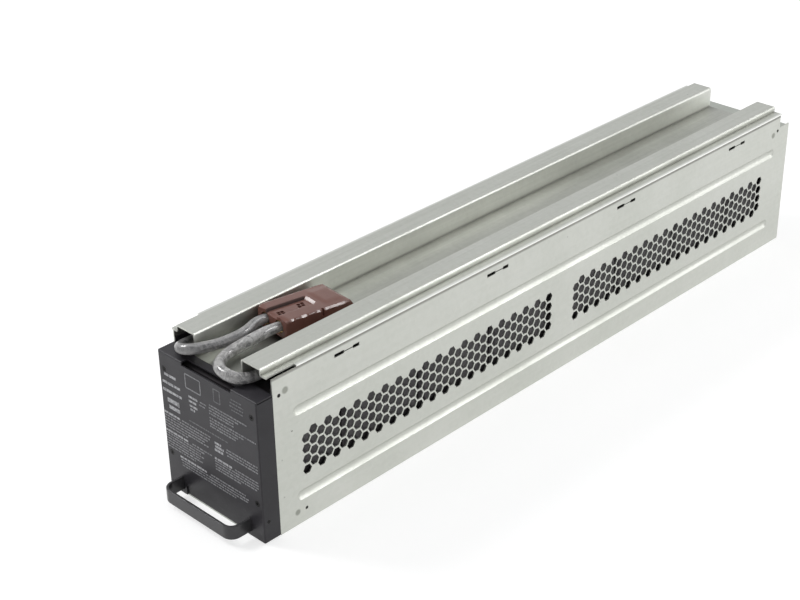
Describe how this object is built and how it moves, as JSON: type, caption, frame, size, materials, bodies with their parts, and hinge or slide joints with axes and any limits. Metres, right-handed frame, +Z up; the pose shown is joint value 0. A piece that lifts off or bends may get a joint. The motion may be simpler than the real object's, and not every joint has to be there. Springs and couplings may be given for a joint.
{
  "type": "ups battery cartridge",
  "caption": "Slim sheet-metal battery cartridge with vented sides, two raised cable rails, a black bezel with a pull handle and a two-pole power connector on short leads.",
  "frame": {"origin": "on the floor under the middle of the whole cartridge, handle included", "axes": "+X across the case to the right seen from the handle, +Y from the handle to the rear end, +Z up"},
  "size_m": [0.097, 0.6162, 0.1264],
  "materials": {
    "galvanised_steel": "zinc-coated sheet, dull grey with a soft sheen",
    "black_powder_coat": "fine matte powder coat, with plain pale printed bars",
    "black_handle": "steel strip under a smooth black coat",
    "black_screw": "blackened steel",
    "battery_case": "dark grey moulded case",
    "tinned_tab": "tinned",
    "grey_foam": "closed-cell foam",
    "insulating_liner": "stiff insulating sheet",
    "insulated_link": "soft insulated cable with crimped lugs",
    "lead_sleeve": "cable in a loose, creased pale grey sleeve",
    "brown_moulding": "moulded brown plastic, slightly satin",
    "brass_contact": "bare brass, slightly dulled"
  },
  "bodies": {
    "root": {"base_liner": "insulating_liner", "base_plate": "galvanised_steel", "battery_1": "battery_case", "battery_2": "battery_case", "battery_3": "battery_case", "battery_4": "battery_case", "battery_5": "battery_case", "battery_6": "battery_case", "battery_7": "battery_case", "battery_8": "battery_case", "battery_tabs": "tinned_tab", "bezel": "black_powder_coat", "connector_housing": "brown_moulding", "contact_left": "brass_contact", "contact_right": "brass_contact", "face_screws": "black_screw", "foam_spacer_1": "grey_foam", "foam_spacer_2": "grey_foam", "foam_spacer_3": "grey_foam", "foam_spacer_4": "grey_foam", "foam_spacer_5": "grey_foam", "foam_spacer_6": "grey_foam", "foam_spacer_7": "grey_foam", "front_end_plate": "black_powder_coat", "front_foam_pad": "grey_foam", "handle": "black_handle", "handle_rivets": "black_screw", "hold_down_foam_front": "grey_foam", "hold_down_foam_rear": "grey_foam", "left_lead": "lead_sleeve", "left_lead_inner": "lead_sleeve", "left_side_panel": "galvanised_steel", "rear_end_plate": "galvanised_steel", "rear_foam_pad": "grey_foam", "right_lead": "lead_sleeve", "right_lead_inner": "lead_sleeve", "right_side_panel": "galvanised_steel", "series_link_1": "insulated_link", "series_link_2": "insulated_link", "series_link_3": "insulated_link", "series_link_4": "insulated_link", "series_link_5": "insulated_link", "series_link_6": "insulated_link", "series_link_7": "insulated_link", "side_screws": "black_screw", "top_cover": "galvanised_steel"}
  },
  "joints": []
}
